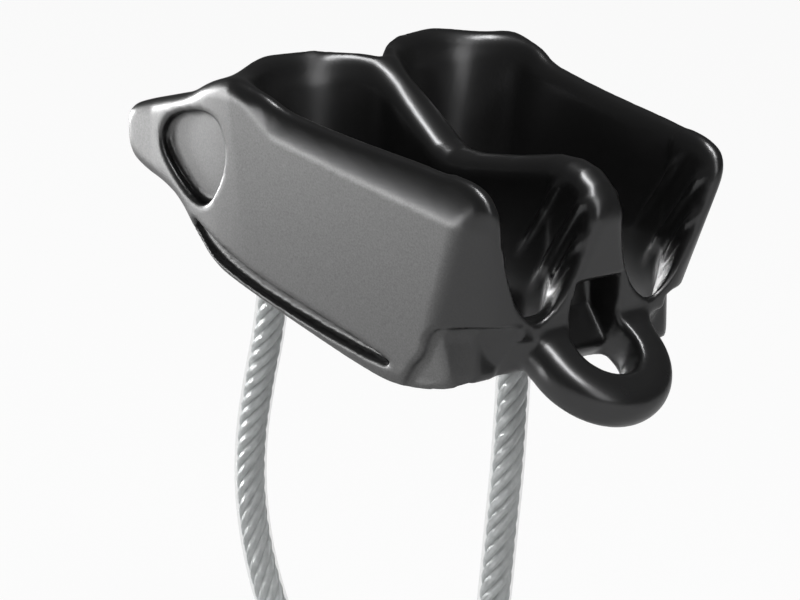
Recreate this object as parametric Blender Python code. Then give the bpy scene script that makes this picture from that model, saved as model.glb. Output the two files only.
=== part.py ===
# Tubular belay device with a guide mode: one forged aluminium body for two ropes, and the
# wire keeper loop that hangs under it. Metres, +Z up. The rope slots open upwards, +X runs
# from the anchor bar to the release hoop, and the origin is the middle of the anchor eye.

import math

import bmesh
import bpy
from mathutils import Matrix, Vector

MM = 0.001

# Rope slots
SLOT_PITCH_FRONT = 18.2 * MM      # between the two slots' centre lines at the front face
SLOT_PITCH_REAR = 21.2 * MM       # the same at the rear end of the slots
SLOT_WIDTH_FRONT = 13.0 * MM
SLOT_WIDTH_REAR = 14.8 * MM
SLOT_REAR_X = 6.2 * MM            # rearmost point of a slot

# Walls
SIDE_WALL = 3.5 * MM
REAR_WALL = 2.8 * MM
EDGE_ROUND = 1.4 * MM

# Front end of the body, which leans back towards the belly
FRONT_X = 49.3 * MM
FRONT_LEAN = 2.7 * MM             # how far the front's lower lip lies behind its top
FRONT_CORNER_ROUND = 4.0 * MM
GROOVE_RUN = 7.6 * MM             # from the front back to the straight part of a slot

# Heights of the outer walls
WALL_TOP_REAR = 11.8 * MM
WALL_TOP_FRONT = 5.4 * MM
REAR_RIM_RISE = 1.4 * MM          # how far the rims behind the slots stand above the walls
BELLY_Z = -21.6 * MM
BELLY_TO_FRONT = 15.6 * MM
LIP_HEIGHT = 8.6 * MM             # the front's lower lip above the belly

# Anchor bar and the eye in front of it
EYE_LENGTH = 15.0 * MM
EYE_HALF_WIDTH = 15.6 * MM
BAR_THICKNESS = 7.0 * MM
BAR_TOP = 6.4 * MM
BAR_BOTTOM = -4.8 * MM
TAIL_CORNER = 4.0 * MM

# Grooves that the braking rope runs in, at the front end of each slot
GROOVE_TO_LIP = 0.3 * MM          # the groove's floor above the front's lower lip
GROOVE_SLOPE = math.radians(55.4)  # how steeply the groove drops towards the belly
GROOVE_FLOOR_RADIUS = 3.2 * MM
RIB_HEIGHT = 0.6 * MM
RIB_COUNT = 3

# Release hoop
HOOP_HOLE_RADIUS = 4.5 * MM
HOOP_RIM = 4.3 * MM
HOOP_THICKNESS = 4.8 * MM
HOOP_TILT = math.radians(38)
HOOP_BELOW_LIP = 1.7 * MM
HOOP_ROOT_TO_HOLE = 3.6 * MM
HOOP_EDGE = 0.9 * MM
FRONT_OPENING_HALF = 3.9 * MM

# Marked pockets in the sides of the anchor bar, and the groove above the belly
POCKET_DEPTH = 1.5 * MM
BELT_DEPTH = 0.7 * MM
STEP_DEPTH = 1.8 * MM

# Keeper loop
ROPE_DIAMETER = 2.6 * MM
SHEATH_DIAMETER = 4.2 * MM
STOP_DIAMETER = 5.0 * MM
STOP_GRIP = 1.7 * MM              # how far the wire rope reaches into a stop
FIT_GAP = 0.3 * MM
SWING = math.radians(20)
STOP_TO_SHEATH = 4.9 * MM
MOUTH_SPREAD = 0.5 * MM

SLOT_FRONT_X = FRONT_X - GROOVE_RUN
FRONT_LIP_X = FRONT_X - FRONT_LEAN
FRONT_LIP_Z = BELLY_Z + LIP_HEIGHT
BELLY_X = FRONT_X - BELLY_TO_FRONT
GROOVE_DEPTH = -FRONT_LIP_Z - GROOVE_TO_LIP
HOOP_ROOT_Z = FRONT_LIP_Z - HOOP_BELOW_LIP
TAIL_X = -EYE_LENGTH / 2 - BAR_THICKNESS
VALLEY_X = EYE_LENGTH / 2
BEYOND = FRONT_X + BAR_THICKNESS + EYE_LENGTH  # cutters reach past the part by this much

FORGED = "anodised_aluminium"
BODY_COLOUR = (0.075, 0.076, 0.078, 1)
ROPE_COLOUR = (0.55, 0.56, 0.56, 1)
SHEATH_COLOUR = (0.72, 0.74, 0.74, 1)
STOP_COLOUR = (0.62, 0.62, 0.60, 1)


def clear_scene():
    for item in list(bpy.data.objects):
        bpy.data.objects.remove(item, do_unlink=True)


def material(name, colour, roughness, metallic):
    made = bpy.data.materials.new(name)
    made.use_nodes = True
    shader = made.node_tree.nodes["Principled BSDF"]
    shader.inputs["Base Color"].default_value = colour
    shader.inputs["Roughness"].default_value = roughness
    shader.inputs["Metallic"].default_value = metallic
    return made


def add_object(name, data):
    made = bpy.data.objects.new(name, data)
    bpy.context.scene.collection.objects.link(made)
    return made


def rounded(corners, step=math.radians(18)):
    """Outline through (u, v, radius) corners, each turned into an arc of its radius."""
    outline = []
    count = len(corners)
    for index, (u, v, radius) in enumerate(corners):
        here = Vector((u, v))
        before = Vector(corners[index - 1][:2]) - here
        after = Vector(corners[(index + 1) % count][:2]) - here
        if radius <= 0:
            outline.append(here)
            continue
        half = before.angle(after) / 2
        reach = min(radius / math.tan(half), before.length * 0.48, after.length * 0.48)
        radius = reach * math.tan(half)
        middle = here + (before.normalized() + after.normalized()).normalized() * radius / math.sin(half)
        start = here + before.normalized() * reach - middle
        turn = before.cross(after)
        sweep = (math.pi - 2 * half) * (1 if turn < 0 else -1)
        pieces = max(2, math.ceil(abs(sweep) / step))
        for piece in range(pieces + 1):
            outline.append(middle + start @ Matrix.Rotation(-sweep * piece / pieces, 2))
    return outline


def smooth(data):
    """Round faces look round; corners sharper than this stay crisp."""
    data.shade_smooth()
    data.set_sharp_from_angle(angle=math.radians(35))


def prism(name, outline, place, low, high):
    """Solid between two copies of an outline; place(u, v, w) says where a point lies."""
    mesh = bmesh.new()
    base = mesh.faces.new([mesh.verts.new((u, v, low)) for u, v in outline])
    raised = bmesh.ops.extrude_face_region(mesh, geom=[base])["geom"]
    top = [item for item in raised if isinstance(item, bmesh.types.BMVert)]
    bmesh.ops.translate(mesh, verts=top, vec=(0, 0, high - low))
    for vertex in mesh.verts:
        vertex.co = place(*vertex.co)
    if mesh.calc_volume(signed=True) < 0:
        bmesh.ops.reverse_faces(mesh, faces=mesh.faces)
    data = bpy.data.meshes.new(name)
    mesh.to_mesh(data)
    mesh.free()
    smooth(data)
    return add_object(name, data)


def side_plane(u, v, w):
    return Vector((u, w, v))


def plan_plane(u, v, w):
    return Vector((u, v, w))


def combine(target, other, operation):
    """Boolean of one solid with another, which is then only a guide."""
    step = target.modifiers.new(other.name, "BOOLEAN")
    step.operation = operation
    step.object = other
    step.solver = "EXACT"
    other.hide_render = True
    other.display_type = "WIRE"


def along(x, front, rear):
    """A size that changes evenly from the rear end of the slots to the front face."""
    share = (x - SLOT_REAR_X) / (FRONT_X - SLOT_REAR_X)
    return rear + (front - rear) * share


def slot_centre(x):
    return along(x, SLOT_PITCH_FRONT / 2, SLOT_PITCH_REAR / 2)


def slot_half(x):
    return along(x, SLOT_WIDTH_FRONT / 2, SLOT_WIDTH_REAR / 2)


def half_width(x):
    """Half the width over the flat side faces, which splay towards the rear."""
    return slot_centre(x) + slot_half(x) + SIDE_WALL


def hull():
    """Outer form: the side view carried across, with splayed sides and rounded long edges."""
    side_view = rounded([
        (TAIL_X, BAR_BOTTOM + 1.2 * MM, 2 * MM),
        (TAIL_X, BAR_TOP - 1.6 * MM, 3.5 * MM),
        (TAIL_X + 5.0 * MM, BAR_TOP, 8 * MM),
        (SLOT_REAR_X - 1.2 * MM, WALL_TOP_REAR, 6 * MM),
        (SLOT_REAR_X + 6.5 * MM, WALL_TOP_REAR, 10 * MM),
        (SLOT_REAR_X + 22 * MM, WALL_TOP_FRONT + 1.9 * MM, 25 * MM),
        (FRONT_X - 5.5 * MM, WALL_TOP_FRONT, 8 * MM),
        (FRONT_X - 1.2 * MM, WALL_TOP_FRONT - 2.2 * MM, FRONT_CORNER_ROUND),
        (FRONT_X, 0, 6 * MM),
        (FRONT_LIP_X, FRONT_LIP_Z, 0),
        (FRONT_LIP_X - 0.6 * MM, FRONT_LIP_Z - 3.2 * MM, 0),
        (FRONT_LIP_X - 3.2 * MM, BELLY_Z + 2.0 * MM, 1.5 * MM),
        (BELLY_X + 2.5 * MM, BELLY_Z, 6 * MM),
        (BELLY_X - 4 * MM, BELLY_Z + 0.3 * MM, 12 * MM),
        (SLOT_REAR_X - 2.8 * MM, FRONT_LIP_Z, 8 * MM),
        (-3.2 * MM, BAR_BOTTOM - 2.6 * MM, 6 * MM),
        (TAIL_X + 6.5 * MM, BAR_BOTTOM, 6 * MM),
    ])
    made = prism("body", side_view, side_plane, -1, 1)
    for vertex in made.data.vertices:
        vertex.co.y *= half_width(vertex.co.x)
    edge = made.modifiers.new("rounded_edges", "BEVEL")
    edge.width = EDGE_ROUND
    edge.segments = 2
    edge.limit_method = "ANGLE"
    edge.angle_limit = math.radians(50)
    edge.use_clamp_overlap = False
    return made


def tail_outline():
    """Plan outline that rounds the tail's corners."""
    wide = half_width(TAIL_X) + 1 * MM
    tail = half_width(TAIL_X)
    return rounded([
        (TAIL_X, tail, TAIL_CORNER),
        (TAIL_X, -tail, TAIL_CORNER),
        (TAIL_X + 12 * MM, -tail, 0),
        (TAIL_X + 12 * MM, -wide, 0),
        (BEYOND, -wide, 0),
        (BEYOND, wide, 0),
        (TAIL_X + 12 * MM, wide, 0),
        (TAIL_X + 12 * MM, tail, 0),
    ])


def anchor_eye():
    """The eye: square to the bar behind it, and scalloped by the two slots' rear walls."""
    centre_y = SLOT_PITCH_REAR / 2
    wall_radius = SLOT_WIDTH_REAR / 2 + REAR_WALL
    middle_x = SLOT_REAR_X + SLOT_WIDTH_REAR / 2
    turns = 8
    outline = [Vector((-EYE_LENGTH / 2, -EYE_HALF_WIDTH + 3 * MM))]
    outline.append(Vector((-EYE_LENGTH / 2 + 3 * MM, -EYE_HALF_WIDTH)))
    for side in (-1, 1):
        first = math.radians(-62 if side < 0 else -54)
        last = math.radians(54 if side < 0 else 62)
        for turn in range(turns + 1):
            angle = first + (last - first) * turn / turns
            outline.append(Vector((middle_x - wall_radius * math.cos(angle),
                                   side * centre_y + wall_radius * math.sin(angle))))
        if side < 0:
            outline.append(Vector((VALLEY_X + 1.0 * MM, 0)))
    outline.append(Vector((-EYE_LENGTH / 2 + 3 * MM, EYE_HALF_WIDTH)))
    outline.append(Vector((-EYE_LENGTH / 2, EYE_HALF_WIDTH - 3 * MM)))
    return prism("anchor_eye_cut", outline, plan_plane, -BEYOND, BEYOND)


def rope_slot(side):
    """A slot: straight, splayed sides with a round rear end."""
    outline = [Vector((SLOT_FRONT_X, slot_centre(SLOT_FRONT_X) - slot_half(SLOT_FRONT_X)))]
    radius = SLOT_WIDTH_REAR / 2
    middle_x = SLOT_REAR_X + radius
    turns = 12
    for turn in range(turns + 1):
        angle = math.pi * turn / turns
        outline.append(Vector((middle_x - radius * math.sin(angle),
                               slot_centre(middle_x) - slot_half(middle_x) * math.cos(angle))))
    outline.append(Vector((SLOT_FRONT_X, slot_centre(SLOT_FRONT_X) + slot_half(SLOT_FRONT_X))))

    def place(u, v, w):
        return Vector((u, side * v, w))
    return prism("rope_slot_cut", outline, place, -BEYOND, BEYOND)


def brake_groove(side):
    """Ribbed V groove: its section is carried down and back along the groove's slope."""
    centre = slot_centre(FRONT_X)
    mouth = slot_half(FRONT_X) - 0.2 * MM
    depth = GROOVE_DEPTH - GROOVE_FLOOR_RADIUS
    flank = []
    for rib in range(RIB_COUNT):
        for share, lift in ((0.0, 0), (0.5, RIB_HEIGHT)):
            drop = (rib + share) / RIB_COUNT
            flank.append((mouth - lift - (mouth - GROOVE_FLOOR_RADIUS) * drop ** 1.6, -depth * drop))
    floor = []
    for turn in range(9):
        angle = math.pi * turn / 8
        floor.append((GROOVE_FLOOR_RADIUS * math.cos(angle),
                      -depth - GROOVE_FLOOR_RADIUS * math.sin(angle)))
    section = [(mouth, 20 * MM)] + flank + floor + [(-v, w) for v, w in reversed(flank)]
    section.append((-mouth, 20 * MM))
    drop = Vector((-math.cos(GROOVE_SLOPE), 0, -math.sin(GROOVE_SLOPE)))

    def place(u, v, w):
        start = Vector((FRONT_LIP_X, side * (centre + u), v))
        return start + drop * w
    return prism("brake_groove_cut", [Vector(point) for point in section], place, -15 * MM, 12 * MM)


def rear_rims():
    """Rolled rims behind the slots, which stand above the outer walls."""
    top = WALL_TOP_REAR + REAR_RIM_RISE
    outline = rounded([
        (SLOT_REAR_X - 4.4 * MM, 0, 0),
        (SLOT_REAR_X - 4.4 * MM, top - 2.4 * MM, 2 * MM),
        (SLOT_REAR_X + 0.6 * MM, top, 4 * MM),
        (SLOT_REAR_X + 5.0 * MM, top, 6 * MM),
        (SLOT_REAR_X + 15.5 * MM, WALL_TOP_REAR - 3.6 * MM, 0),
        (SLOT_REAR_X + 15.5 * MM, 0, 0)])
    reach = slot_centre(SLOT_REAR_X) + SLOT_WIDTH_REAR / 2 - 0.6 * MM
    made = prism("rear_rims_form", outline, side_plane, -reach, reach)
    edge = made.modifiers.new("rounded_edges", "BEVEL")
    edge.width = EDGE_ROUND
    edge.segments = 2
    edge.limit_method = "ANGLE"
    edge.angle_limit = math.radians(50)
    return made


def middle_wall_top():
    """What the middle wall lacks: it dips behind its front peak and rises to the rear rim."""
    rear = SLOT_REAR_X + 2.4 * MM
    saddle_x = SLOT_REAR_X + 19.3 * MM
    saddle_z = WALL_TOP_FRONT - 3.5 * MM
    peak_x = FRONT_X - 7.5 * MM
    peak_z = WALL_TOP_FRONT - 1.5 * MM
    outline = rounded([
        (rear, WALL_TOP_REAR + 0.6 * MM, 0),
        (saddle_x - 3.0 * MM, saddle_z + 0.1 * MM, 6 * MM),
        (saddle_x + 3.0 * MM, saddle_z, 6 * MM),
        (peak_x, peak_z, 6 * MM),
        (FRONT_X - 3.6 * MM, peak_z, 5 * MM),
        (FRONT_X, -0.5 * MM, 0),
        (BEYOND, -2 * MM, 0),
        (BEYOND, BEYOND, 0),
        (rear, BEYOND, 0)])
    half = SLOT_PITCH_REAR / 2 - SLOT_WIDTH_REAR / 2 + 1.4 * MM
    return prism("middle_wall_cut", outline, side_plane, -half, half)


def front_opening():
    """Opening through the middle wall above and behind the release hoop."""
    outline = rounded([
        (-FRONT_OPENING_HALF, -BEYOND, 0), (FRONT_OPENING_HALF, -BEYOND, 0),
        (3.4 * MM, FRONT_LIP_Z + 3.4 * MM, 1.6 * MM), (-3.4 * MM, FRONT_LIP_Z + 3.4 * MM, 1.6 * MM)])

    def place(u, v, w):
        return Vector((w, u, v))
    return prism("front_opening_cut", outline, place, FRONT_LIP_X - 6.4 * MM, FRONT_X + 5 * MM)


def lower_window(side):
    """Gap under the groove's lip, where the slot breaks out of the front."""
    inner = slot_centre(FRONT_X) - 2.6 * MM
    outer = slot_centre(FRONT_X) + 3.0 * MM
    outline = rounded([
        (inner, -BEYOND, 0), (outer, -BEYOND, 0),
        (outer, HOOP_ROOT_Z - 0.9 * MM, 1 * MM), (inner, HOOP_ROOT_Z - 0.9 * MM, 1 * MM)])

    def place(u, v, w):
        return Vector((w, side * u, v))
    return prism("lower_window_cut", outline, place, SLOT_FRONT_X - 4 * MM, BEYOND)


def chin_step(side):
    """Step in the side, in front of the belly: the lower front corner is set back."""
    top = FRONT_LIP_Z - 0.3 * MM
    outline = rounded([
        (FRONT_X + 5 * MM, top, 0),
        (BELLY_X + 6.6 * MM, top, 2.2 * MM),
        (BELLY_X + 3.2 * MM, BELLY_Z + 3.4 * MM, 4 * MM),
        (BELLY_X - 1.5 * MM, BELLY_Z - 1 * MM, 0),
        (BELLY_X - 1.5 * MM, BELLY_Z - 9 * MM, 0),
        (FRONT_X + 5 * MM, BELLY_Z - 9 * MM, 0)])

    def place(u, v, w):
        return Vector((u, side * (half_width(u) - STEP_DEPTH + w), v))
    return prism("chin_step_cut", outline, place, 0, 10 * MM)


def front_corner(side):
    """Slanting cut that narrows the front end towards its lower corner."""
    edge = half_width(FRONT_X)
    outline = [Vector(point) * MM for point in ((-14, 0), (12, 0), (12, 12), (-14, 12))]
    top = Vector((FRONT_X, side * (edge + 0.2 * MM), 1 * MM))
    rear = Vector((FRONT_X - 8.0 * MM, side * (edge + 0.2 * MM), HOOP_ROOT_Z))
    front = Vector((FRONT_LIP_X, side * (edge - 5.2 * MM), HOOP_ROOT_Z))
    run = (front - rear).normalized()
    away = run.cross(top - rear).normalized()
    if away.y * side < 0:
        away = -away
    rise = away.cross(run).normalized()

    def place(u, v, w):
        return rear + run * u + away * v + rise * w
    return prism("front_corner_cut", outline, place, -30 * MM, 30 * MM)


def hoop_place(u, v, w):
    """Point of the hoop: u out from its root, v across, w above its upper face."""
    outward = Vector((math.cos(HOOP_TILT), 0, -math.sin(HOOP_TILT)))
    upward = Vector((math.sin(HOOP_TILT), 0, math.cos(HOOP_TILT)))
    root = Vector((FRONT_LIP_X - 0.3 * MM, 0, HOOP_ROOT_Z))
    return root + outward * u + Vector((0, v, 0)) + upward * w


def release_hoop():
    """Flat ring whose two arms run back into the front wall."""
    radius = HOOP_HOLE_RADIUS + HOOP_RIM
    turns = 20
    outline = [Vector((-3.0 * MM, -radius + 0.3 * MM))]
    for turn in range(turns + 1):
        angle = math.pi * (turn / turns - 0.5)
        outline.append(Vector((HOOP_ROOT_TO_HOLE + radius * math.cos(angle), radius * math.sin(angle))))
    outline.append(Vector((-3.0 * MM, radius - 0.3 * MM)))
    made = prism("release_hoop_form", outline, hoop_place, -HOOP_THICKNESS, 0)
    edge = made.modifiers.new("rounded_edges", "BEVEL")
    edge.width = HOOP_EDGE
    edge.segments = 2
    edge.limit_method = "ANGLE"
    edge.angle_limit = math.radians(50)
    return made


def hoop_hole():
    """The hoop's eye, which runs back through the front opening."""
    turns = 14
    outline = [Vector((-5 * MM, -FRONT_OPENING_HALF)), Vector((-0.5 * MM, -FRONT_OPENING_HALF))]
    for turn in range(turns + 1):
        angle = math.pi * (turn / turns - 0.5)
        outline.append(Vector((HOOP_ROOT_TO_HOLE + HOOP_HOLE_RADIUS * math.cos(angle),
                               HOOP_HOLE_RADIUS * math.sin(angle))))
    outline += [Vector((-0.5 * MM, FRONT_OPENING_HALF)), Vector((-5 * MM, FRONT_OPENING_HALF))]
    return prism("hoop_hole_cut", outline, hoop_place, -12 * MM, 2.2 * MM)


def pocket(side):
    """Rounded three-cornered pocket in the side of the anchor end."""
    outline = rounded([
        (-7.6 * MM, 0.6 * MM, 2.2 * MM), (-4.6 * MM, 4.6 * MM, 2.5 * MM),
        (6.2 * MM, 7.0 * MM, 3.2 * MM), (7.2 * MM, 1.0 * MM, 3.5 * MM), (1.0 * MM, -5.8 * MM, 2.2 * MM)])

    def place(u, v, w):
        return Vector((u, side * (half_width(u) - POCKET_DEPTH + w), v))
    return prism("pocket_cut", outline, place, 0, 5 * MM)


def belt_groove(side):
    """Long tapered groove along the side, just above the belly's rounded lip."""
    outline = [Vector(point) * MM for point in (
        (-0.8, -7.2), (1.6, -8.9), (9.2, -12.6), (20.8, -16.0), (32.6, -19.3),
        (31.6, -20.0), (20.4, -17.4), (8.8, -13.9), (1.8, -10.6), (-0.2, -8.6))]

    def place(u, v, w):
        return Vector((u, side * (half_width(u) - BELT_DEPTH + w), v))
    return prism("belt_groove_cut", outline, place, 0, 5 * MM)


# Route of the keeper's wire rope in the middle plane, from the stop in the anchor bar down,
# round under the body and up to the stop in the keel, in millimetres (x, z)
KEEPER_ROUTE = (
    (-10.8, -1.2), (-10.6, -7.0), (-10.7, -14.0), (-11.2, -21.0), (-12.4, -28.0), (-14.3, -35.0),
    (-15.8, -42.0), (-16.2, -49.0), (-15.2, -56.0), (-12.8, -62.8), (-9.0, -69.2), (-3.8, -74.6),
    (2.8, -78.2), (9.8, -79.4), (16.6, -77.8), (22.4, -73.4), (26.6, -66.8), (29.0, -59.4),
    (30.2, -52.0), (31.2, -44.0), (32.2, -36.0), (32.9, -28.0), (33.3, -22.0), (33.4, -17.6))


def keeper_curve():
    """Smooth curve through the route's points, read off at even steps (Catmull-Rom)."""
    points = [Vector((x, 0, z)) * MM for x, z in KEEPER_ROUTE]
    points = [2 * points[0] - points[1]] + points + [2 * points[-1] - points[-2]]
    fine = []
    per_span = 40
    for a, b, c, d in zip(points, points[1:], points[2:], points[3:]):
        for step in range(per_span):
            t = step / per_span
            fine.append(0.5 * (2 * b + (c - a) * t + (2 * a - 5 * b + 4 * c - d) * t ** 2
                               + (3 * b - a - 3 * c + d) * t ** 3))
    fine.append(points[-2])
    lengths = [0.0]
    for before, after in zip(fine, fine[1:]):
        lengths.append(lengths[-1] + (after - before).length)
    return fine, lengths


def route_between(start, end, spacing):
    """Points along the keeper between two lengths measured from the rear stop's centre."""
    fine, lengths = keeper_curve()
    count = max(2, round((end - start) / spacing))
    result = []
    index = 0
    for step in range(count + 1):
        wanted = start + (end - start) * step / count
        while lengths[index + 1] < wanted and index < len(lengths) - 2:
            index += 1
        share = (wanted - lengths[index]) / (lengths[index + 1] - lengths[index])
        result.append(fine[index].lerp(fine[index + 1], share))
    return result


def tube(name, points, radius, resolution):
    """Round tube along points, closed at its ends."""
    curve = bpy.data.curves.new(name, "CURVE")
    curve.dimensions = "3D"
    curve.bevel_depth = radius
    curve.bevel_resolution = resolution
    curve.use_fill_caps = True
    spline = curve.splines.new("POLY")
    spline.points.add(len(points) - 1)
    for target, point in zip(spline.points, points):
        target.co = (*point, 1)
    return add_object(name, curve)


def keeper_end(front):
    """Centre of a stop and the direction in which the wire rope leaves it."""
    fine, lengths = keeper_curve()
    if front:
        return fine[-1], (fine[-30] - fine[-1]).normalized()
    return fine[0], (fine[30] - fine[0]).normalized()


def stop_cavity(front):
    """Round seat for a stop, and the mouth that lets the wire rope swing sideways."""
    centre, out = keeper_end(front)
    across = Vector((0, 1, 0))
    thick = out.cross(across).normalized()
    mesh = bmesh.new()
    bmesh.ops.create_icosphere(mesh, subdivisions=2, radius=STOP_DIAMETER / 2 + FIT_GAP)
    bmesh.ops.translate(mesh, verts=mesh.verts, vec=centre)
    data = bpy.data.meshes.new("stop_seat_cut")
    mesh.to_mesh(data)
    mesh.free()
    smooth(data)
    seat = add_object("stop_seat_cut", data)
    half = ROPE_DIAMETER / 2 + FIT_GAP
    near, far = 1 * MM, 9 * MM
    spread = math.tan(SWING)
    outline = [Vector(point) for point in (
        (near, -half - near * spread), (far, -half - MOUTH_SPREAD - far * spread),
        (far, half + MOUTH_SPREAD + far * spread), (near, half + near * spread))]

    def place(u, v, w):
        return centre + out * u + across * v + thick * w
    mouth = prism("keeper_mouth_cut", outline, place, -half, half)
    return seat, mouth


def keel_boss():
    """Thicker foot of the middle wall round the front stop."""
    centre, out = keeper_end(True)
    radius = STOP_DIAMETER / 2 + FIT_GAP + 1.3 * MM
    turns = 16
    outline = [Vector((centre.x + radius * math.cos(math.tau * turn / turns),
                       radius * math.sin(math.tau * turn / turns))) for turn in range(turns)]
    low = BELLY_Z + 0.5 * MM
    return prism("keel_boss_form", outline, plan_plane, low, centre.z + radius)


def build_body():
    body = hull()
    combine(body, prism("tail_guide", tail_outline(), plan_plane, -BEYOND, BEYOND), "INTERSECT")
    combine(body, rear_rims(), "UNION")
    combine(body, middle_wall_top(), "DIFFERENCE")
    combine(body, anchor_eye(), "DIFFERENCE")
    for side in (-1, 1):
        combine(body, rope_slot(side), "DIFFERENCE")
        combine(body, front_corner(side), "DIFFERENCE")
        combine(body, chin_step(side), "DIFFERENCE")
    combine(body, keel_boss(), "UNION")
    combine(body, front_opening(), "DIFFERENCE")
    combine(body, release_hoop(), "UNION")
    combine(body, hoop_hole(), "DIFFERENCE")
    for side in (-1, 1):
        combine(body, brake_groove(side), "DIFFERENCE")
        combine(body, lower_window(side), "DIFFERENCE")
        combine(body, pocket(side), "DIFFERENCE")
        combine(body, belt_groove(side), "DIFFERENCE")
    for front in (False, True):
        for cut in stop_cavity(front):
            combine(body, cut, "DIFFERENCE")
    body.data.materials.append(material(FORGED, BODY_COLOUR, 0.35, 0.9))
    return body


def build_stop(name, front):
    """Ball swaged on the end of the wire rope."""
    centre, out = keeper_end(front)
    mesh = bmesh.new()
    bmesh.ops.create_uvsphere(mesh, u_segments=16, v_segments=10, radius=STOP_DIAMETER / 2)
    bmesh.ops.rotate(mesh, verts=mesh.verts, cent=(0, 0, 0),
                     matrix=Vector((0, 0, 1)).rotation_difference(out).to_matrix())
    bmesh.ops.translate(mesh, verts=mesh.verts, vec=centre)
    data = bpy.data.meshes.new(name)
    mesh.to_mesh(data)
    mesh.free()
    smooth(data)
    stop = add_object(name, data)
    turns = 12
    radius = ROPE_DIAMETER / 2 + FIT_GAP
    across = Vector((0, 1, 0))
    other = out.cross(across).normalized()
    outline = [Vector((radius * math.cos(math.tau * turn / turns),
                       radius * math.sin(math.tau * turn / turns))) for turn in range(turns)]
    start = STOP_DIAMETER / 2 - STOP_GRIP - FIT_GAP

    def place(u, v, w):
        return centre + across * u + other * v + out * w
    combine(stop, prism(name + "_bore_cut", outline, place, start, STOP_DIAMETER), "DIFFERENCE")
    stop.data.materials.append(material(name + "_steel", STOP_COLOUR, 0.4, 1.0))
    return stop


def build_keeper():
    lengths = keeper_curve()[1]
    total = lengths[-1]
    start = STOP_DIAMETER / 2 - STOP_GRIP
    spacing = 2.5 * ROPE_DIAMETER
    core = route_between(start, total - start, spacing)
    rope = tube("keeper_wire_rope", core, ROPE_DIAMETER / 2, 2)
    rope.data.materials.append(material("galvanised_wire", ROPE_COLOUR, 0.45, 0.9))
    cover = route_between(STOP_TO_SHEATH, total - STOP_TO_SHEATH, spacing)
    outside = tube("keeper_sheath_form", cover, SHEATH_DIAMETER / 2, 4)
    bore = tube("keeper_bore_form", core, ROPE_DIAMETER / 2 + FIT_GAP, 2)
    reader = bpy.context.evaluated_depsgraph_get()
    sheath_mesh = bpy.data.meshes.new_from_object(outside.evaluated_get(reader))
    bore_mesh = bpy.data.meshes.new_from_object(bore.evaluated_get(reader))
    for form in (outside, bore):
        bpy.data.objects.remove(form, do_unlink=True)
    smooth(sheath_mesh)
    smooth(bore_mesh)
    sheath = add_object("keeper_sheath", sheath_mesh)
    sheath.data.materials.clear()
    sheath.data.materials.append(material("clear_sheath", SHEATH_COLOUR, 0.25, 0.0))
    combine(sheath, add_object("keeper_bore_cut", bore_mesh), "DIFFERENCE")
    print("keeper length between the stops' centres:", round(total / MM, 1), "mm")
    return rope, sheath


def hang_on_pivot(pieces):
    """Parent the keeper's pieces to an empty on the axis through both stops."""
    rear = keeper_end(False)[0]
    front = keeper_end(True)[0]
    pivot = add_object("keeper_pivot", None)
    pivot.location = rear
    pivot.rotation_mode = "QUATERNION"
    pivot.rotation_quaternion = (front - rear).to_track_quat("X", "Z")
    bpy.context.view_layer.update()
    for piece in pieces:
        piece.parent = pivot
        piece.matrix_parent_inverse = pivot.matrix_world.inverted()


clear_scene()
build_body()
keeper = list(build_keeper())
keeper.append(build_stop("keeper_stop_rear", False))
keeper.append(build_stop("keeper_stop_front", True))
hang_on_pivot(keeper)
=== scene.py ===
import math

import bpy
import numpy as np
from mathutils import Matrix, Vector


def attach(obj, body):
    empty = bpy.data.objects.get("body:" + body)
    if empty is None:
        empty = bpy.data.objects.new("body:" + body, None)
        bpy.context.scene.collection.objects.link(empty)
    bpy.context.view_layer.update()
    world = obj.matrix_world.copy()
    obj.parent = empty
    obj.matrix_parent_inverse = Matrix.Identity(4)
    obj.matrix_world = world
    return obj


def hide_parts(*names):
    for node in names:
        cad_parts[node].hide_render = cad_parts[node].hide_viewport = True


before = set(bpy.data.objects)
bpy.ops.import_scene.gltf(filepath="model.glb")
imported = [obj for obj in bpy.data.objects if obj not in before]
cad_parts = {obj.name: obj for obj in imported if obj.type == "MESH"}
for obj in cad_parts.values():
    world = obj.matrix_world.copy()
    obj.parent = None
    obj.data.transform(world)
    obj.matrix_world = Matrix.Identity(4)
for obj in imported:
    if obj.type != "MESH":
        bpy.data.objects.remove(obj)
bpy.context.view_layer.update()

MM = 0.001

# Camera. A long lens looks from the right front, a little above the device, so that the hoop
# points to the lower right and the keeper loop runs out of the bottom of the picture.
lens = bpy.data.cameras.new("photo_camera")
lens.lens = 189
lens.sensor_width = 36
lens.clip_start = 0.05
lens.clip_end = 20
camera = bpy.data.objects.new("photo_camera", lens)
bpy.context.scene.collection.objects.link(camera)
camera_axes = Matrix(((0.66913, -0.18481, 0.71980),
                      (0.74314, 0.16641, -0.64811),
                      (0.0, 0.96858, 0.24869)))
camera_place = Vector((385.475, -335.561, 109.822)) * MM
camera.matrix_world = Matrix.Translation(camera_place) @ camera_axes.to_4x4()
bpy.context.scene.camera = camera


# Keeper cover. A clear plastic tube, drawn over the wire rope before its end stops are swaged
# on; it keeps the wire from scratching the body and shows the strands through its wall.
class Sock:
    """A shader socket that can be used in Python expressions."""

    def __init__(self, tree, socket):
        self.tree = tree
        self.socket = socket

    def math(self, operation, other):
        node = self.tree.nodes.new("ShaderNodeMath")
        node.operation = operation
        for socket, value in zip(node.inputs, (self, other)):
            plug(self.tree, socket, value)
        return Sock(self.tree, node.outputs[0])

    def __add__(self, other):
        return self.math("ADD", other)

    def __radd__(self, other):
        return self.math("ADD", other)

    def __sub__(self, other):
        return self.math("SUBTRACT", other)

    def __mul__(self, other):
        return self.math("MULTIPLY", other)

    def __rmul__(self, other):
        return self.math("MULTIPLY", other)

    def clamp(self):
        return self.math("MAXIMUM", 0.0).math("MINIMUM", 1.0)


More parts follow.
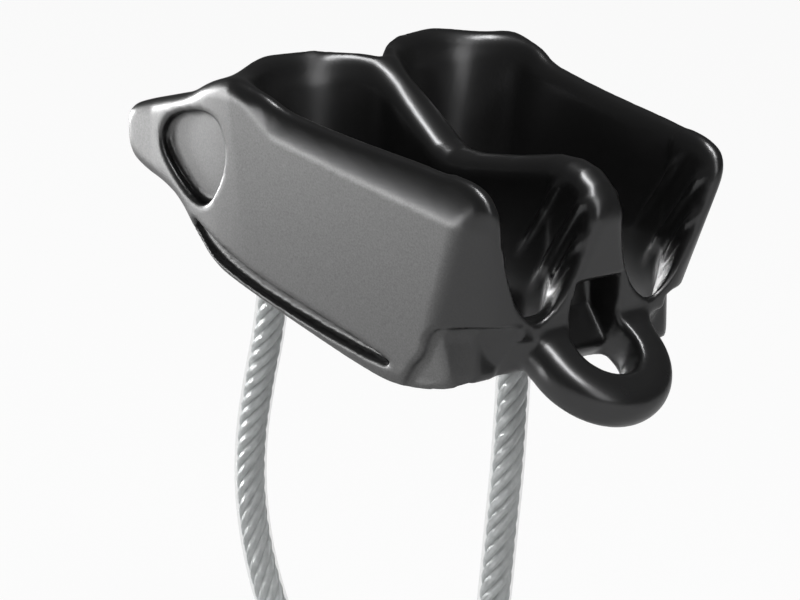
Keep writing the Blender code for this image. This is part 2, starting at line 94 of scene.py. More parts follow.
def plug(tree, socket, value):
    """Link a Sock, or set a plain value."""
    if isinstance(value, Sock):
        tree.links.new(value.socket, socket)
    else:
        socket.default_value = value


class Finish:
    """A material whose shader takes expressions for what varies and plain values for the rest."""

    def __init__(self, name):
        self.material = bpy.data.materials.new(name)
        self.material.use_nodes = True
        self.tree = self.material.node_tree
        self.shader = self.tree.nodes["Principled BSDF"]

    def node(self, kind, settings=None, output=0, **values):
        """New node of a kind, with plain settings and its inputs' values; returns one output."""
        made = self.tree.nodes.new(kind)
        for key, value in (settings or {}).items():
            setattr(made, key, value)
        for key, value in values.items():
            plug(self.tree, made.inputs[key.replace("_", " ")], value)
        return Sock(self.tree, made.outputs[output])

    def set(self, **values):
        """Set or link the shader's own inputs."""
        for key, value in values.items():
            plug(self.tree, self.shader.inputs[key.replace("_", " ")], value)

    def mix(self, share, first, second):
        """First colour where share is 0, second where it is 1."""
        made = self.tree.nodes.new("ShaderNodeMix")
        made.data_type = "RGBA"
        plug(self.tree, made.inputs[0], share)
        plug(self.tree, made.inputs[6], first)
        plug(self.tree, made.inputs[7], second)
        return Sock(self.tree, made.outputs[2])


def put_mesh(name, points, faces, finish):
    """Mesh object from an array of points in metres and a list of faces, shaded smooth."""
    data = bpy.data.meshes.new(name)
    data.from_pydata(points.tolist(), [], faces)
    data.shade_smooth()
    data.update()
    data.materials.append(finish.material)
    made = bpy.data.objects.new(name, data)
    bpy.context.scene.collection.objects.link(made)
    return made


# Route points (x, z) in millimetres, in the middle plane from the rear stop to the front stop
KEEPER_ROUTE = (
    (-10.8, -1.2), (-10.6, -7.0), (-10.7, -14.0), (-11.2, -21.0), (-12.4, -28.0), (-14.3, -35.0),
    (-15.8, -42.0), (-16.2, -49.0), (-15.2, -56.0), (-12.8, -62.8), (-9.0, -69.2), (-3.8, -74.6),
    (2.8, -78.2), (9.8, -79.4), (16.6, -77.8), (22.4, -73.4), (26.6, -66.8), (29.0, -59.4),
    (30.2, -52.0), (31.2, -44.0), (32.2, -36.0), (32.9, -28.0), (33.3, -22.0), (33.4, -17.6))
SPAN_STEPS = 40


def keeper_line(start, end, count):
    """Points at even steps on the Catmull-Rom curve through the route, between two lengths
    measured from the rear stop; each span is the usual cubic of its four neighbours."""
    points = np.array([(x, 0.0, z) for x, z in KEEPER_ROUTE]) * MM
    points = np.vstack((2 * points[0] - points[1], points, 2 * points[-1] - points[-2]))
    t = (np.arange(SPAN_STEPS) / SPAN_STEPS)[None, :, None]
    a, b, c, d = (points[i:len(points) - 3 + i][:, None, :] for i in range(4))
    fine = 2 * b + (c - a) * t + (2 * a - 5 * b + 4 * c - d) * t ** 2 + (3 * b - a - 3 * c + d) * t ** 3
    fine *= 0.5
    fine = np.vstack((fine.reshape(-1, 3), points[-2]))
    steps = np.linalg.norm(np.diff(fine, axis=0), axis=1)
    lengths = np.concatenate(([0], np.cumsum(steps)))
    wanted = np.linspace(start, lengths[-1] + end, count)
    return np.stack([np.interp(wanted, lengths, fine[:, axis]) for axis in range(3)], axis=1)


def plane_frame(line):
    """For a line in the middle plane: unit vectors across it (along Y) and outward (along its
    normal in that plane), and the length of each step."""
    along = np.gradient(line, axis=0)
    steps = np.linalg.norm(along, axis=1)
    along /= steps[:, None]
    across = np.zeros_like(line)
    across[:, 1] = 1
    return across, np.cross(along, across), steps


def tube_faces(count, sides, turn_back=False):
    """Quads between a tube's neighbouring rings and a cap at each end; turn_back flips them all,
    for rings that run the other way round."""
    ring, side = np.meshgrid(np.arange(count - 1), np.arange(sides), indexing="ij")
    after = (side + 1) % sides
    quads = np.stack((ring * sides + side, (ring + 1) * sides + side,
                      (ring + 1) * sides + after, ring * sides + after), axis=-1)
    last = (count - 1) * sides
    faces = quads.reshape(-1, 4).tolist()
    faces.append(list(range(sides)))
    faces.append(list(range(last + sides - 1, last - 1, -1)))
    if turn_back:
        faces = [face[:1] + face[:0:-1] for face in faces]
    return faces


SHEATH_DIAMETER = 4.2 * MM
SHEATH_SIDES = 40
STOP_TO_SHEATH = 4.9 * MM
sheath_line = keeper_line(STOP_TO_SHEATH, -STOP_TO_SHEATH, 160)
across, outward, _ = plane_frame(sheath_line)
angle = np.linspace(0, 2 * math.pi, SHEATH_SIDES, endpoint=False)[None, :, None]
rings = sheath_line[:, None, :] + SHEATH_DIAMETER / 2 * (
    np.cos(angle) * across[:, None, :] + np.sin(angle) * outward[:, None, :])

clear_plastic = Finish("clear_plastic")
clear_plastic.set(Base_Color=(0.55, 0.57, 0.57, 1), Roughness=0.12, IOR=1.45, Alpha=0.20)
sheath = put_mesh("keeper_clear_sheath", rings.reshape(-1, 3),
                  tube_faces(len(sheath_line), SHEATH_SIDES), clear_plastic)
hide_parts("keeper_sheath")
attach(sheath, "keeper")

# Wire rope. Seven-strand galvanised steel cord, laid right-handed; six outer strands wind round
# a straight core strand, and each strand is itself a twist of fine wires.
ROPE_DIAMETER = 3.7 * MM
ROPE_INSET = 0.8 * MM
STRAND_LAY = 12.6 * MM
STRANDS = 6
STRAND_SIDES = 10
STRAND_FILL = 0.99
WIRE_TWIST = 9
strand_radius = ROPE_DIAMETER / 6
rope_line = keeper_line(ROPE_INSET, -ROPE_INSET, 620)


def strand(line, number, coil_radius, radius):
    """One strand: its centre circles the rope's line once per lay, at coil_radius, and its
    round section is carried along that helix. Returns points, faces and the wires' lay: the
    angle round the strand, which turns by WIRE_TWIST in each lay, and the lays passed."""
    across, out, steps = plane_frame(line)
    lays = np.cumsum(steps) / STRAND_LAY
    turn = 2 * math.pi * (lays + number / STRANDS)
    centre = line + coil_radius * (np.cos(turn)[:, None] * across + np.sin(turn)[:, None] * out)
    run = np.gradient(centre, axis=0)
    run /= np.linalg.norm(run, axis=1, keepdims=True)
    side_a = centre - line if coil_radius else across
    side_a = side_a / np.linalg.norm(side_a, axis=1, keepdims=True)
    side_a = side_a - (side_a * run).sum(axis=1, keepdims=True) * run
    side_a /= np.linalg.norm(side_a, axis=1, keepdims=True)
    side_b = np.cross(run, side_a)
    angle = np.linspace(0, 2 * math.pi, STRAND_SIDES, endpoint=False)[None, :, None]
    rings = centre[:, None, :] + radius * (
        np.cos(angle) * side_a[:, None, :] + np.sin(angle) * side_b[:, None, :])
    laid = np.broadcast_to(lays[:, None], rings.shape[:2])
    lay = np.stack((angle[..., 0] + WIRE_TWIST * laid, laid, np.zeros_like(laid)), axis=-1)
    return rings.reshape(-1, 3), tube_faces(len(line), STRAND_SIDES, turn_back=True), lay.reshape(-1, 3)


wire = Finish("galvanised_wire")
lay_map = wire.node("ShaderNodeAttribute", {"attribute_name": "wire_lay"}, output=1)
wires = wire.node("ShaderNodeTexWave", {"wave_type": "BANDS", "bands_direction": "X"}, Vector=lay_map,
                  Scale=1.6, Distortion=0.0, Detail=0.0)
bump = wire.node("ShaderNodeBump", Height=wires, Strength=0.5, Distance=0.00012)
place = wire.node("ShaderNodeTexCoord", output=3)
grain = wire.node("ShaderNodeTexNoise", Vector=place, Scale=900.0, Detail=2.0)
wire.set(Base_Color=wire.mix((grain * 0.8).clamp(), (0.42, 0.44, 0.44, 1), (0.95, 0.97, 0.97, 1)))
wire.set(Metallic=0.35, Roughness=0.34, Normal=bump)
rope_points = []
rope_faces = []
rope_lay = []
for number in range(STRANDS + 1):
    core = number == STRANDS
    coil_radius = 0 if core else ROPE_DIAMETER / 2 - strand_radius
    radius = strand_radius if core else strand_radius * STRAND_FILL
    points, faces, lay = strand(rope_line, number, coil_radius, radius)
    offset = sum(len(block) for block in rope_points)
    rope_points.append(points)
    rope_faces += [[index + offset for index in face] for face in faces]
    rope_lay.append(lay)
rope = put_mesh("keeper_rope_strands", np.vstack(rope_points), rope_faces, wire)
lay_attribute = rope.data.attributes.new("wire_lay", "FLOAT_VECTOR", "POINT")
lay_attribute.data.foreach_set("vector", np.vstack(rope_lay).astype(np.float32).ravel())
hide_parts("keeper_wire_rope")
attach(rope, "keeper")

# End stops. Steel balls swaged on the rope's ends, which sit in round seats in the anchor bar
# and in the keel, so that the loop can swing a little to either side.
swaged = Finish("swaged_steel")
place = swaged.node("ShaderNodeTexCoord", output=3)
scuff = swaged.node("ShaderNodeTexNoise", Vector=place, Scale=1400.0, Detail=3.0)
swaged.set(Base_Color=swaged.mix(scuff, (0.45, 0.45, 0.44, 1), (0.68, 0.68, 0.66, 1)))
swaged.set(Metallic=1.0, Roughness=0.35)
for name in ("keeper_stop_rear", "keeper_stop_front"):
    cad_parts[name].data.materials.clear()
    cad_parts[name].data.materials.append(swaged.material)

# Body. One piece of aluminium, hot forged, trimmed, tumbled and anodised dark grey; its outline
# is worked out as a field that is negative inside the metal, whose parts blend into each other
# with the soft fillets of a forging, and the skin is the surface where the field is zero.

# Lengths of the body are in millimetres, and w is the distance from the middle plane.
SLOT_REAR_X, SLOT_FRONT_X, FRONT_X = 6.2, 41.6, 49.3
SLOT_ROUND_X = 13.6           # the slots' round rear ends run into their straight sides here
SLOT_CENTRE, SLOT_CONVERGES = 10.6, 1.5
SLOT_HALF, SLOT_NARROWS = 7.4, 0.9
SLOT_SPREAD = 0.07            # how fast a slot's outer side leans out upwards
WALL_LEAN = 0.12              # how fast an outer wall's outside leans out upwards
RIM_RADIUS, RIM_TUBE, RIM_HEIGHT, RIM_FALL = 9.3, 2.1, 10.6, 0.22
GROOVE_FRONT_X, GROOVE_REAR_X, GROOVE_DEPTH, GROOVE_DROP = 46.6, 30.0, 13.3, 1.45
GROOVE_SCALE = 3.6            # brings the groove's field to about a millimetre per millimetre
RIBS = ((-5.8, 2.4, -9.0), (1.2, 1.4, -13.0), (5.8, -3.2, -12.4))
RIB_HEIGHT, RIB_WIDTH = 0.55, 0.95
CHIN_DEPTH, POCKET_DEPTH, BELT_DEPTH = 1.1, 1.5, 1.2
CORNER_X, CORNER_W, CORNER_Z = 41.4, 19.0, -14.7
OPENING_TOP = -9.8
GAP_CENTRE, GAP_HALF, GAP_TOP, GAP_REAR_X = 9.6, 2.6, -15.6, 42.6
WALL_END_X, WALL_END_W, WALL_END_TOP = 43.2, 12.0, -13.9
REAR_STOP, FRONT_STOP = KEEPER_ROUTE[0], KEEPER_ROUTE[-1]
MOUTH_RADIUS, MOUTH_SPREAD = 2.35, 0.37
FOOT_RADIUS, FOOT_HALF = 4.1, 3.9
HOOP_TILT = math.radians(38)
HOOP_ROOT = (46.0, -15.0)
HOOP_CENTRE, HOOP_RADIUS, HOOP_HOLE = 3.6, 9.65, 4.5
HOOP_MIDDLE, HOOP_HALF = -2.7, 2.9


def soft_max(a, b, k):
    """The larger of two fields, with the corner between them rounded over about k."""
    h = np.clip(0.5 + 0.5 * (a - b) / k, 0, 1)
    return b + (a - b) * h + k * h * (1 - h)


def soft_min(a, b, k):
    """The smaller of two fields, with the corner between them filled over about k."""
    return -soft_max(-a, -b, k)


def outline_distance(u, v, corners):
    """Signed distance to a closed outline: the least distance to its sides, negative inside."""
    corners = np.asarray(corners, dtype=float)
    best = np.full(np.broadcast(u, v).shape, 1e9)
    inside = np.zeros(best.shape, dtype=bool)
    for (ax, ay), (bx, by) in zip(corners, np.roll(corners, -1, axis=0)):
        ex, ey = bx - ax, by - ay
        t = np.clip(((u - ax) * ex + (v - ay) * ey) / (ex * ex + ey * ey), 0, 1)
        best = np.minimum(best, np.hypot(u - ax - t * ex, v - ay - t * ey))
        crosses = (ay > v) != (by > v)
        if ey:
            inside ^= crosses & (u < ax + (v - ay) * ex / ey)
    return np.where(inside, -best, best)


def smooth_outline(corners, turns=3):
    """Corner-cut outline: each turn replaces a corner by points at a quarter of both sides."""
    corners = np.asarray(corners, dtype=float)
    for _ in range(turns):
        after = np.roll(corners, -1, axis=0)
        pairs = np.stack((0.75 * corners + 0.25 * after, 0.25 * corners + 0.75 * after), axis=1)
        corners = pairs.reshape(-1, 2)
    return corners


SIDE_VIEW = smooth_outline((
    (-13.4, -2.3), (-15.2, -0.4), (-15.6, 3.8), (-12.0, 5.2), (-7.5, 6.4), (-1.0, 8.0), (3.5, 10.2),
    (8.0, 11.5), (12.5, 11.2), (18.0, 9.3), (26.0, 7.8), (34.0, 6.8), (41.0, 6.1), (48.0, 5.2),
    (50.4, 0.6), (49.3, -3.0), (47.6, -10.0), (46.8, -15.5), (45.0, -19.4), (40.6, -21.6),
    (33.0, -22.7), (27.0, -21.6), (18.0, -18.7), (8.0, -15.3), (2.3, -13.0), (-1.2, -9.3),
    (-4.0, -6.0), (-7.2, -4.5), (-10.4, -3.7)))
# Plans (x, w) of the tail's corners and of half the anchor eye
TAIL_PLAN = smooth_outline(((-15.4, -60), (-15.4, 20.4), (-14.0, 22.6), (-6, 30), (90, 60), (90, -60)), 2)
EYE_PLAN = smooth_outline((
    (-7.5, -60), (-7.5, 14.2), (-5.6, 15.6), (-1.5, 15.6), (1.8, 14.6), (2.6, 12.0), (3.2, 9.0),
    (4.4, 5.0), (8.0, 1.0), (9.0, 0), (9.0, -60)), 2)
# Height of the middle wall's top along x
RIDGE_X = (-20, 8.0, 10.5, 13.0, 18.2, 21.8, 23.8, 27.1, 34.0, 40.8, 43.6, 46.0, 47.8, 49.1, 50.0, 50.6, 60)
RIDGE_Z = (20, 12.8, 11.6, 9.6, 5.6, 2.9, 2.0, 1.9, 2.8, 4.1, 4.1, 3.4, 2.0, 0.2, -2.4, -5.5, -60)
# Side views (x, z) of what is sunk into the outer walls' outsides
CHIN_STEP = smooth_outline((
    (60, -13.4), (41.5, -13.4), (39.0, -14.6), (38.0, -17.4), (35.6, -19.4), (33.6, -22.6),
    (33.0, -32), (60, -32)), 2)
POCKET = smooth_outline((
    (-7.6, 0.6), (-6.4, 3.6), (-3.0, 5.4), (3.0, 6.6), (6.0, 5.8), (7.2, 3.0), (6.2, -0.8),
    (3.0, -5.0), (0.4, -5.6), (-3.4, -3.4)), 2)
BELT = smooth_outline((
    (-0.8, -7.2), (1.6, -8.6), (9.2, -12.4), (20.8, -15.8), (32.6, -19.3),
    (31.6, -20.0), (20.4, -17.6), (8.8, -14.3), (1.8, -11.0), (-0.2, -8.8)), 2)


def width_share(x):
    """How far x is from the slots' rear ends, 0, to the front, 1, and a little beyond both."""
    return np.clip((x - SLOT_REAR_X) / (FRONT_X - SLOT_REAR_X), -0.6, 1.2)


def crease_height(x):
    """Height of the crease between the flat panel and the rolled rim above it."""
    return np.interp(x, (-14, 0, 8, 15.9, 27.2, 46.0, 50), (12, 12, 11.0, 5.2, 2.7, -1.0, -2))


def front_cheek(x, w, z):
    """Field of the slanting plane that trims the front of each outer wall."""
    above = np.maximum(z - CORNER_Z, -0.5)
    return 0.640 * (x - CORNER_X) + 0.685 * (w - CORNER_W) - 0.350 * above


def hoop_field(x, w, z):
    """Field of the release hoop: a flat ring with two arms back to the body, tilted down; out
    and up are measured along and square to its plane from its root."""
    out = (x - HOOP_ROOT[0]) * math.cos(HOOP_TILT) - (z - HOOP_ROOT[1]) * math.sin(HOOP_TILT)
    up = (x - HOOP_ROOT[0]) * math.sin(HOOP_TILT) + (z - HOOP_ROOT[1]) * math.cos(HOOP_TILT)
    past = np.maximum(out - HOOP_CENTRE, 0)
    ring = np.hypot(past, w * np.interp(out, (-5, HOOP_CENTRE), (0.86, 1.0))) - HOOP_RADIUS
    ring = soft_max(ring, -3.5 - out, 0.5)
    hoop = soft_max(ring, np.abs(up - HOOP_MIDDLE) - HOOP_HALF, 3.2)
    hole = np.hypot(past, w * np.interp(out, (-2, HOOP_CENTRE), (1.12, 1.0))) - HOOP_HOLE
    return soft_max(hoop, -soft_max(hole, -6 - out, 0.5), 0.9)


def body_field(x, y, z):
    """Field of the whole body at points in millimetres; negative in the metal. Outlines and
    round forms are joined by soft_min, and cut away by soft_max with the cutter's negative."""
    w = np.abs(y)
    share = width_share(x)
    centre = SLOT_CENTRE - SLOT_CONVERGES * share
    half = SLOT_HALF - SLOT_NARROWS * share
    lean = WALL_LEAN * np.clip(z + 15, -6, 24) * np.clip((x + 9) / 18, 0, 1)
    outer = centre + half + np.interp(x, (-14, 4), (2.2, 3.3)) + lean
    # outer walls: side view carried across, rolled inwards above the flat panel
    above = np.clip(z - crease_height(x), 0, None)
    cheek = w - outer + 0.20 * above + above ** 2 / 36
    solid = soft_max(outline_distance(x, z, SIDE_VIEW), cheek, 2.0)
    solid = soft_max(solid, front_cheek(x, w, z), 1.8)
    # rolled rims behind the slots: half a ring round each, which sinks forwards
    around = np.hypot(x - SLOT_ROUND_X, w - SLOT_CENTRE)
    rim_rise = z - RIM_HEIGHT + RIM_FALL * np.clip(x - 9, 0, None)
    rim = np.hypot(around - RIM_RADIUS, rim_rise) - RIM_TUBE
    solid = soft_min(solid, soft_max(rim, x - 17.0, 5.0), 2.6)
    # tail: rounded corners in plan
    solid = soft_max(solid, outline_distance(x, w, TAIL_PLAN), 2.2)
    # middle wall's top
    ridge = np.interp(x, RIDGE_X, RIDGE_Z)
    over_middle = soft_max(ridge - z, w - (centre - half + 1.2), 0.8)
    solid = soft_max(solid, -over_middle, 2.4)
    # rope slots, whose outer sides and mouths widen upwards
    spread = SLOT_SPREAD * np.clip(z + 8, 0, 22)
    mouth = 0.008 * np.clip(z, 0, 12) ** 2
    slot_across = (w - centre - spread) * SLOT_HALF / (half + spread)
    slot = np.hypot(np.minimum(x - SLOT_ROUND_X, 0), slot_across) - SLOT_HALF - mouth
    slot = soft_max(slot, x - SLOT_FRONT_X, 1.0)
    # flare below the slots' rear ends
    flare_x = SLOT_ROUND_X - 0.16 * np.clip(1.0 - z, 0, 30)
    flare = np.hypot(np.minimum(x - flare_x, 0), w - 10.5) - 6.4
    slot = soft_min(slot, soft_max(flare, x - 20.0, 1.0), 0.8)
    # braking grooves, which drop rearwards and run out of the slots' front ends
    level = GROOVE_DROP * (x - GROOVE_FRONT_X) - z
    depth = np.maximum(level, 0) / GROOVE_DEPTH
    across = half + spread - 0.05 - 0.10 * np.clip(41.0 - x, 0, 12)
    groove = GROOVE_SCALE * ((np.abs(w - centre - spread) / across) ** 1.7 + depth ** 2.3 - 1)
    groove = soft_max(groove, GROOVE_REAR_X - x, 0.6)
    cut = soft_min(slot, groove, 0.7)
    # ribs on both flanks, which follow the grooves' drop; each has a crest's level, top and foot
    for crest, top, foot in RIBS:
        run = np.clip((top - z) / 2.2, 0, 1) * np.clip((z - foot) / 4.5, 0, 1)
        run = run * run * (3 - 2 * run) * np.clip((np.abs(w - 9.1) - 2.0) / 1.5, 0, 1)
        cut = cut + RIB_HEIGHT * run * np.exp(-((level - crest) / RIB_WIDTH) ** 2)
    solid = soft_max(solid, -cut, np.interp(z, (-14, 0), (1.3, 3.0)))
    # anchor eye
    solid = soft_max(solid, -outline_distance(x, w, EYE_PLAN), 1.8)
    # chin step, measured in from the panel or from the slanting front, whichever lies further in
    slant = CORNER_W - 0.934 * (x - CORNER_X) + 0.511 * np.maximum(z - CORNER_Z, -0.5)
    chin = np.minimum(outer, slant) - CHIN_DEPTH - 0.25 * np.clip(x - SLOT_FRONT_X, 0, 3)
    step = soft_max(outline_distance(x, z, CHIN_STEP), chin - w, 0.8)
    solid = soft_max(solid, -step, 0.5)
    # opening in the middle wall behind the hoop
    opening_half = np.interp(z, (-16, -12.5, -9.6), (0.6, 0.4, 0.0)) + np.interp(x, (42.8, 47), (2.5, 3.5))
    opening = np.maximum(w - opening_half, z - OPENING_TOP)
    opening = soft_max(opening, np.interp(z, (-18, -14), (45.0, 42.8)) - x, 0.4)
    solid = soft_max(solid, -opening, 0.7)
    # gaps beside the keel
    gap = np.maximum(np.abs(w - GAP_CENTRE) - GAP_HALF, z - GAP_TOP)
    gap = soft_max(gap, GAP_REAR_X - x, 0.6)
    # the outer walls' lower parts end behind the front, under the overhanging lip
    wall_end = np.maximum(WALL_END_W - w, z - WALL_END_TOP)
    wall_end = soft_max(wall_end, WALL_END_X - x, 0.5)
    # both leave a skin of metal round the groove's floor
    recess = soft_max(soft_min(gap, wall_end, 0.3), 1.2 - groove, 0.6)
    solid = soft_max(solid, -recess, 0.6)
    # keel foot round the front stop
    foot = np.hypot(x - FRONT_STOP[0], w) - FOOT_RADIUS
    foot = soft_max(foot, np.abs(z - FRONT_STOP[1]) - FOOT_HALF, 1.2)
    solid = soft_min(solid, foot, 1.2)
    # mouths below the two end stops, as wide across as the keeper's swing
    for stop_x, stop_z in (REAR_STOP, FRONT_STOP):
        swing_room = np.clip(w - MOUTH_SPREAD * np.clip(stop_z - z, 0, None), 0, None)
        keeper_mouth = np.hypot(x - stop_x, swing_room) - MOUTH_RADIUS
        keeper_mouth = np.maximum(keeper_mouth, z - stop_z - 0.5)
        solid = soft_max(solid, -keeper_mouth, 0.5)
    # release hoop
    solid = soft_min(solid, hoop_field(x, w, z), 1.4)
    # pocket and belt groove in the panel
    pocket = soft_max(outline_distance(x, z, POCKET), (outer - POCKET_DEPTH) - w, 0.5)
    solid = soft_max(solid, -pocket, 0.7)
    belt = soft_max(outline_distance(x, z, BELT), (outer - BELT_DEPTH) - w, 0.5)
    return soft_max(solid, -belt, 0.6)


CELL = 0.46
SETTLE_TURNS = 4              # moves of the skin's points onto the field's zero surface
SLOPE_STEP = 0.02             # half the span over which the field's slope is measured
BODY_LOW, BODY_HIGH = (-17.0, -26.0, -28.0), (57.6, 26.0, 15.6)


def slope_at(field, points):
    """The field's slope at points, from its values a small step to either side."""
    slope = np.empty_like(points)
    for axis in range(3):
        step = np.zeros(3)
        step[axis] = SLOPE_STEP
        rise = field(*(points + step).T) - field(*(points - step).T)
        slope[:, axis] = rise / (2 * SLOPE_STEP)
    return slope


def skin(field, low, high, cell):
    """Surface nets: one vertex in every grid cell that the surface passes through, at the mean
    of the crossings on its edges, and one face across every crossed grid edge. The vertices are
    then moved along the field's slope until they lie on its zero surface. Returns points, faces
    and normals."""
    axes = [np.arange(a, b, cell) for a, b in zip(low, high)]
    x, y, z = np.meshgrid(*axes, indexing="ij", sparse=True)
    values = field(x, y, z)
    shape = np.array(values.shape)
    cells = tuple(shape - 1)
    total = np.zeros(cells + (3,))
    count = np.zeros(cells)
    crossings = []
    for axis in range(3):
        first = [slice(None)] * 3
        second = [slice(None)] * 3
        first[axis] = slice(None, -1)
        second[axis] = slice(1, None)
        a, b = values[tuple(first)], values[tuple(second)]
        crossed = (a < 0) != (b < 0)
        t = np.where(crossed, a / np.where(crossed, a - b, 1), 0)
        crossings.append((crossed, a < 0))
        others = [i for i in range(3) if i != axis]
        for shift_one in (0, 1):
            for shift_two in (0, 1):
                pick = [slice(None)] * 3
                pick[others[0]] = slice(shift_one, shift_one + cells[others[0]])
                pick[others[1]] = slice(shift_two, shift_two + cells[others[1]])
                hit = crossed[tuple(pick)]
                count += hit
                total[..., axis] += np.where(hit, t[tuple(pick)], 0)
                total[..., others[0]] += hit * shift_one
                total[..., others[1]] += hit * shift_two
    used = count > 0
    number = np.full(cells, -1)
    number[used] = np.arange(used.sum())
    where = np.argwhere(used)
    points = (where + total[used] / count[used][:, None]) * cell + np.array([a[0] for a in axes])
    faces = []
    for axis, (crossed, leaving) in enumerate(crossings):
        others = [i for i in range(3) if i != axis]
        inner = [slice(None)] * 3
        for other in others:
            inner[other] = slice(1, -1)
        at = np.argwhere(crossed[tuple(inner)])
        for other in others:
            at[:, other] += 1
        one, two = np.zeros(3, int), np.zeros(3, int)
        one[others[0]] = 1
        two[others[1]] = 1
        ring = [number[tuple((at - shift).T)] for shift in (0 * one, one, one + two, two)]
        quad = np.stack(ring, axis=1)
        outward = leaving[tuple(at.T)]
        turn = outward if axis != 1 else ~outward
        quad[~turn] = quad[~turn][:, ::-1]
        faces.append(quad)
    for _ in range(SETTLE_TURNS):
        slope = slope_at(field, points)
        steepness = np.maximum((slope ** 2).sum(axis=1), 0.2)
        move = -0.7 * (field(*points.T) / steepness)[:, None] * slope
        points = points + np.clip(move, -0.3 * cell, 0.3 * cell)
    normals = slope / np.maximum(np.linalg.norm(slope, axis=1, keepdims=True), 1e-9)
    return points, np.vstack(faces).tolist(), normals


body_points, body_faces, body_normals = skin(body_field, BODY_LOW, BODY_HIGH, CELL)
anodised = Finish("dark_anodised_aluminium")
place = anodised.node("ShaderNodeTexCoord", output=3)
finish_and_shade_share = anodised.node("ShaderNodeAttribute", {"attribute_name": "finish_and_shade_share"}, output=2)
fine = anodised.node("ShaderNodeTexNoise", Vector=place, Scale=4200.0, Detail=3.0, Roughness=0.6)
broad = anodised.node("ShaderNodeTexNoise", Vector=place, Scale=260.0, Detail=4.0)
# Painted shade: where the share is low (glossy top, rims, slot insides, front corner) the base colour is
# darker than on the satin panel. This stands in for the dark they reflect. The same share also sets the real
# roughness and grain.
finish_and_shade_colour = anodised.mix(finish_and_shade_share, (0.040, 0.040, 0.041, 1), (0.105, 0.105, 0.105, 1))
speckle = ((fine - 0.5) * 0.5 * finish_and_shade_share + 0.12).clamp()
anodised.set(Base_Color=anodised.mix(speckle, finish_and_shade_colour, (0.30, 0.30, 0.30, 1)))
anodised.set(Metallic=0.9, Roughness=0.29 + 0.12 * finish_and_shade_share + (broad - 0.5) * 0.06)
anodised.set(Normal=anodised.node("ShaderNodeBump", Height=fine * finish_and_shade_share, Strength=0.12, Distance=0.00005))
body = put_mesh("forged_body", body_points * MM, body_faces, anodised)
# How much each point belongs to the satin panel: it faces sideways, lies below the crease and behind the
# slanting front, and isn't inside a slot.
# Besides the real satin finish, this share carries painted shade: away from the panel the base colour is
# darker.
px, py, pz = body_points.T
outward = np.sign(py) * body_normals[:, 1]
finish_and_shade_mask = np.clip((outward - 0.35) / 0.4, 0, 1) * (np.abs(py) > 17.5 - 2.4 * width_share(px))
finish_and_shade_mask *= np.clip((crease_height(px) + 0.9 - pz) / 1.0, 0, 1)
finish_and_shade_mask *= np.clip(-0.2 - front_cheek(px, np.abs(py), pz) / 1.6, 0.15, 1)
mark = body.data.attributes.new("finish_and_shade_share", "FLOAT", "POINT")
mark.data.foreach_set("value", finish_and_shade_mask.astype(np.float32))
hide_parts("body")
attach(body, "device")

# Floor and light. A plain pale floor lies under the hanging loop. A low softbox on the left
# lights the panel, and strips above, in front and on the left draw the lines along the rims.
FLOOR_HEIGHT = -0.085
FLOOR_REACH = 4
FLOOR_GLOW = 0.93             # share of the floor's brightness that only the camera sees
SURROUND = 0.07               # how strongly the white surround lights the object
corners = [(x * FLOOR_REACH, y * FLOOR_REACH, FLOOR_HEIGHT) for x, y in ((-1, -1), (1, -1), (1, 1), (-1, 1))]
floor_data = bpy.data.meshes.new("floor")
floor_data.from_pydata(corners, [], [(0, 1, 2, 3)])
floor = bpy.data.objects.new("floor", floor_data)
bpy.context.scene.collection.objects.link(floor)
pale = bpy.data.materials.new("pale_floor")
pale.use_nodes = True
nodes = pale.node_tree.nodes
links = pale.node_tree.links
pale_shader = nodes["Principled BSDF"]
pale_shader.inputs["Base Color"].default_value = (0.60, 0.60, 0.60, 1)
pale_shader.inputs["Roughness"].default_value = 0.9
glow = nodes.new("ShaderNodeEmission")
glow.inputs["Color"].default_value = (1, 1, 1, 1)
path = nodes.new("ShaderNodeLightPath")
seen = nodes.new("ShaderNodeMath")
seen.operation = "MULTIPLY"
links.new(path.outputs["Is Camera Ray"], seen.inputs[0])
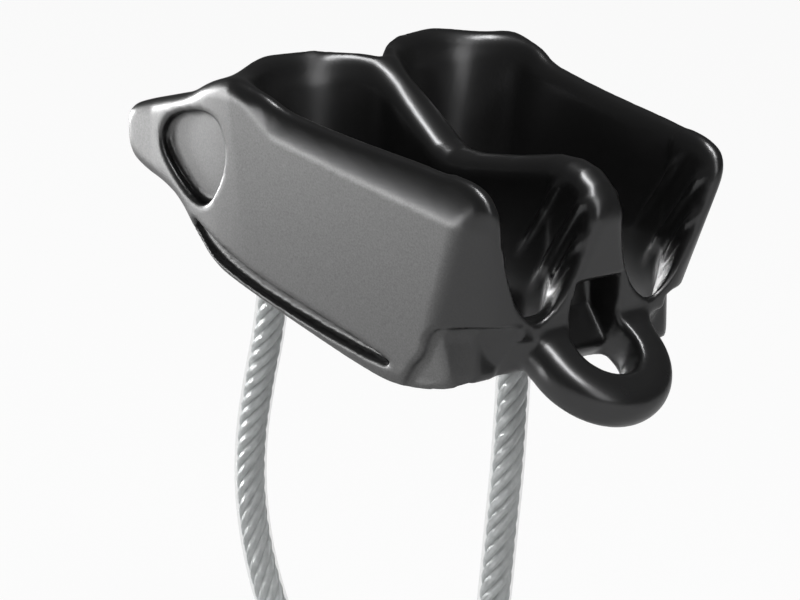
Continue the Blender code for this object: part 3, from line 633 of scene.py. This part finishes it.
seen.inputs[1].default_value = FLOOR_GLOW
blend = nodes.new("ShaderNodeMixShader")
links.new(seen.outputs[0], blend.inputs[0])
links.new(pale_shader.outputs[0], blend.inputs[1])
links.new(glow.outputs[0], blend.inputs[2])
links.new(blend.outputs[0], nodes["Material Output"].inputs[0])
floor_data.materials.append(pale)

world = bpy.data.worlds.new("white_room")
bpy.context.scene.world = world
world.use_nodes = True
sky = world.node_tree
background = sky.nodes["Background"]
background.inputs["Color"].default_value = (1, 1, 1, 1)
sky_path = sky.nodes.new("ShaderNodeLightPath")
either = sky.nodes.new("ShaderNodeMath")
either.operation = "MAXIMUM"
sky.links.new(sky_path.outputs["Is Camera Ray"], either.inputs[0])
sky.links.new(sky_path.outputs["Is Transmission Ray"], either.inputs[1])
level = sky.nodes.new("ShaderNodeMath")
level.operation = "MULTIPLY_ADD"
sky.links.new(either.outputs[0], level.inputs[0])
level.inputs[1].default_value = 1 - SURROUND
level.inputs[2].default_value = SURROUND
sky.links.new(level.outputs[0], background.inputs["Strength"])


def soft_lamp(name, place, target, size, power):
    """Rectangular area lamp at a place, turned to a target, both in metres."""
    data = bpy.data.lights.new(name, "AREA")
    data.shape = "RECTANGLE"
    data.size, data.size_y = size
    data.energy = power
    lamp = bpy.data.objects.new(name, data)
    lamp.location = place
    lamp.rotation_euler = (Vector(target) - Vector(place)).to_track_quat("-Z", "Y").to_euler()
    bpy.context.scene.collection.objects.link(lamp)


middle_of_body = (0.02, 0, 0)
soft_lamp("low_softbox", (-0.20, -0.26, -0.048), middle_of_body, (0.30, 0.06), 0.46)
soft_lamp("top_strip", (0.10, -0.06, 0.60), middle_of_body, (0.10, 0.3), 2)
soft_lamp("front_strip", (0.75, -0.10, 0.30), middle_of_body, (0.30, 0.5), 1)
soft_lamp("rim_strip", (0.42, -0.08, 0.66), middle_of_body, (0.14, 0.45), 3.5)
soft_lamp("left_strip", (-0.62, -0.10, -0.01), middle_of_body, (0.12, 0.12), 3)

bpy.context.scene.view_settings.view_transform = "Standard"
